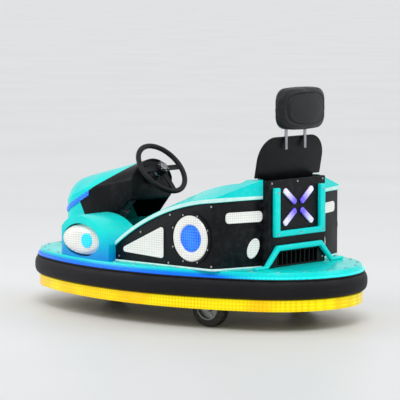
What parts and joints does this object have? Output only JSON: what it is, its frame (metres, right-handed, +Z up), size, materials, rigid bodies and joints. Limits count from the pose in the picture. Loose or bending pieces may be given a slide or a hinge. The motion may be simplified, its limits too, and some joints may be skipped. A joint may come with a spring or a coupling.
{
  "type": "battery bumper kart with racing kart bodywork",
  "caption": "Battery bumper kart for an indoor rink, styled as a racing kart: rubber ring bumper, lit side pods, bucket seat with headrest, steered front drive wheel.",
  "frame": {"origin": "on the floor under the middle of the bumper ring, which is the middle of the kart's box", "axes": "-Y is forwards (the nose), +Y the tail, +X the kart's left side, +Z up"},
  "size_m": [1.11, 1.8996, 1.134],
  "materials": {
    "body_colour": "glossy gel-coated shell, turquoise",
    "black_shell": "glossy black moulding",
    "bumper_rubber": "matt black rubber",
    "light_strip": "yellow translucent light strip",
    "white_lamp": "milky white lamp cover",
    "blue_lamp": "blue lamp cover",
    "violet_lamp": "violet lamp cover",
    "cyan_lamp": "cyan lamp cover",
    "amber_lamp": "amber lamp cover",
    "frame_steel": "black powder coat",
    "bright_steel": "bright zinc plate",
    "cast_housing": "cast, bead-blasted",
    "floor_mat": "ribbed black mat",
    "seat_leather": "black vinyl leather",
    "grip": "soft black grip",
    "tyre_rubber": "solid rubber tread",
    "battery_case": "plain battery case"
  },
  "bodies": {
    "chassis": {"bumper_ring": "bumper_rubber", "underglow_strip": "light_strip", "bumper_hoop": "frame_steel", "chassis_frame": "frame_steel", "floor_plate": "frame_steel", "foot_mat": "floor_mat", "rear_axle": "bright_steel", "drive_bridge": "frame_steel", "steering_column": "cast_housing", "body_deck": "body_colour", "side_pods": "body_colour", "side_panels": "black_shell", "side_lamp_rings": "white_lamp", "side_lamp_cores": "blue_lamp", "side_lenses": "white_lamp", "tail_lamps": "white_lamp", "rear_panel": "black_shell", "rear_frame": "body_colour", "cross_lamp": "violet_lamp", "rear_grille": "black_shell", "nose_panel": "body_colour", "nose_grille": "black_shell", "front_light_bars": "white_lamp", "front_fenders": "body_colour", "front_lamps": "white_lamp", "front_lamp_cores": "cyan_lamp", "fairing": "body_colour", "fairing_lamp": "amber_lamp", "fairing_stripes": "blue_lamp", "dash_panel": "black_shell", "seat_plinth": "black_shell", "battery_box": "battery_case", "seat_shell": "black_shell", "seat_cushion": "seat_leather", "seat_back_pad": "seat_leather", "headrest": "seat_leather", "headrest_posts": "bright_steel", "pedals": "bright_steel"},
    "steering": {"steering_wheel": "grip", "steering_shaft": "bright_steel"},
    "drive_unit": {"drive_fork": "frame_steel"},
    "drive_road_wheel": {"drive_tyre": "tyre_rubber", "drive_wheel": "cast_housing"},
    "road_wheel_left": {"rear_tyre_left": "tyre_rubber", "rear_wheel_left": "cast_housing"},
    "road_wheel_right": {"rear_tyre_right": "tyre_rubber", "rear_wheel_right": "cast_housing"}
  },
  "joints": [
    {"name": "steering_turn", "type": "hinge", "parent": "chassis", "child": "steering", "pos_m": [0, -0.235, 0.697], "axis": [0, 0.766, 0.6428], "range_deg": [-180, 180]},
    {"name": "drive_unit_turn", "type": "hinge", "parent": "chassis", "child": "drive_unit", "pos_m": [0, -0.55, 0.1], "axis": [0, 0, 1], "range_deg": [-180, 180]},
    {"name": "drive_wheel_spin", "type": "hinge", "parent": "drive_unit", "child": "drive_road_wheel", "pos_m": [0, -0.55, 0.1], "axis": [1, 0, 0], "continuous": true},
    {"name": "left_wheel_spin", "type": "hinge", "parent": "chassis", "child": "road_wheel_left", "pos_m": [0.34483, 0.39, 0.1], "axis": [1, 0, 0], "continuous": true},
    {"name": "right_wheel_spin", "type": "hinge", "parent": "chassis", "child": "road_wheel_right", "pos_m": [-0.34483, 0.39, 0.1], "axis": [1, 0, 0], "continuous": true}
  ],
  "couplings": [
    {"joint": "drive_unit_turn", "follows": "steering_turn", "ratio": 1}
  ]
}
